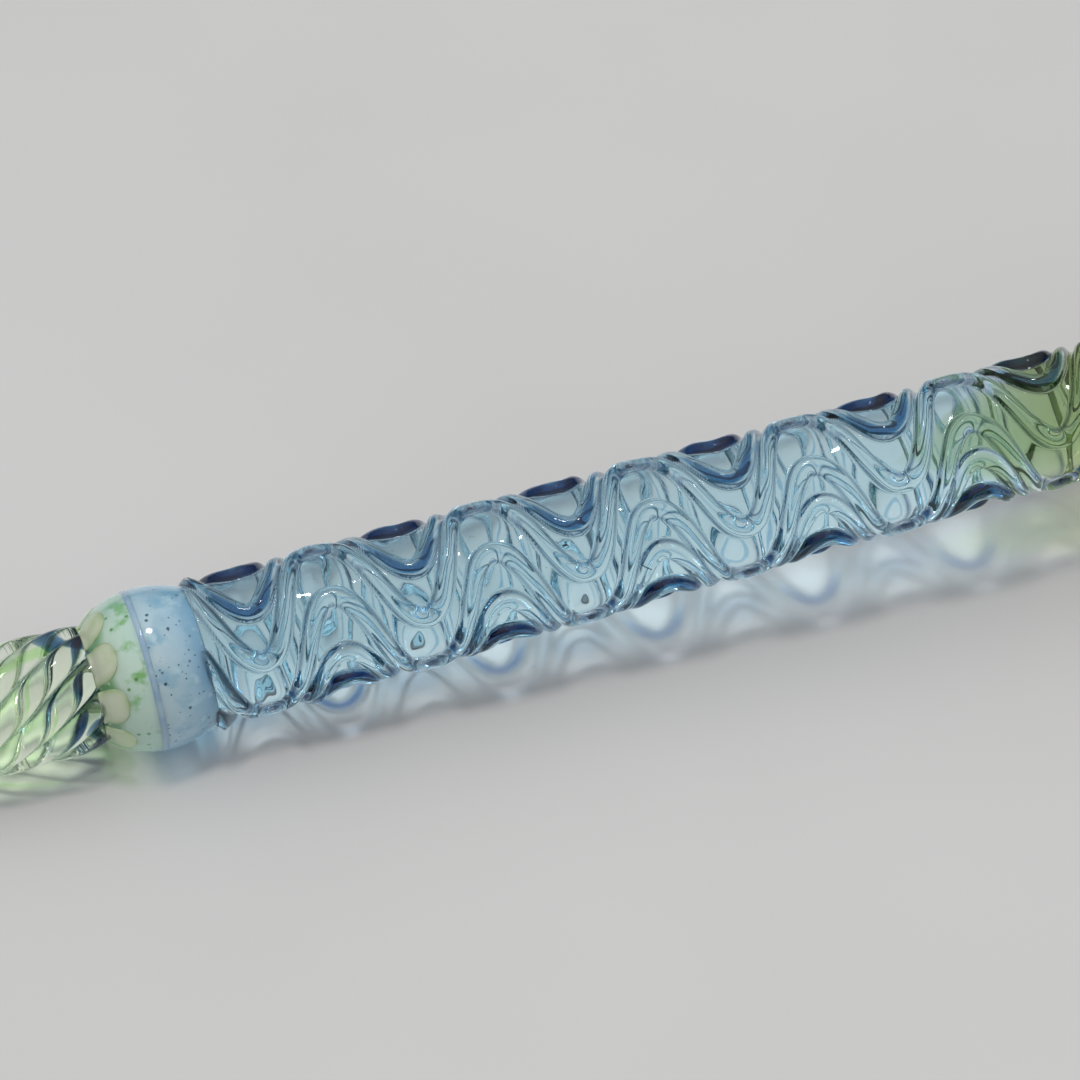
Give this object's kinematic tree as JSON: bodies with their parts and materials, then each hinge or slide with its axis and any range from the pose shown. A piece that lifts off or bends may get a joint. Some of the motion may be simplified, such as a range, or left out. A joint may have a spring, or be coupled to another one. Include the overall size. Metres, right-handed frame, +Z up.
{
  "type": "glass dip pen",
  "caption": "Glass dip pen: twisted fluted nib, two-tone opal bulb, aqua handle turning olive with raised wavy blue trails, and a round end.",
  "frame": {"origin": "on the surface the pen lies on, under the middle of its length, with the pen's axis 6.05 mm above it", "axes": "+X along the pen from the nib to the round end, +Z up, +Y to the left when looking from the nib towards the end"},
  "size_m": [0.1582, 0.012, 0.0121],
  "materials": {
    "clear_glass": "gloss",
    "green_opal": "gloss",
    "blue_opal": "gloss",
    "lilac_thread": "gloss",
    "aqua_glass": "gloss",
    "olive_glass": "gloss",
    "navy_trail": "gloss"
  },
  "bodies": {
    "root": {"nib": "clear_glass", "bulb_front": "green_opal", "bulb_rear": "blue_opal", "bulb_seam_thread": "lilac_thread", "front_rod": "aqua_glass", "rear_rod": "olive_glass", "end_ball": "olive_glass", "wave_trail_1": "navy_trail", "wave_trail_2": "navy_trail", "wave_trail_3": "navy_trail", "wave_trail_4": "navy_trail", "wave_trail_5": "navy_trail", "wave_trail_6": "navy_trail", "wave_trail_7": "navy_trail"}
  },
  "joints": []
}
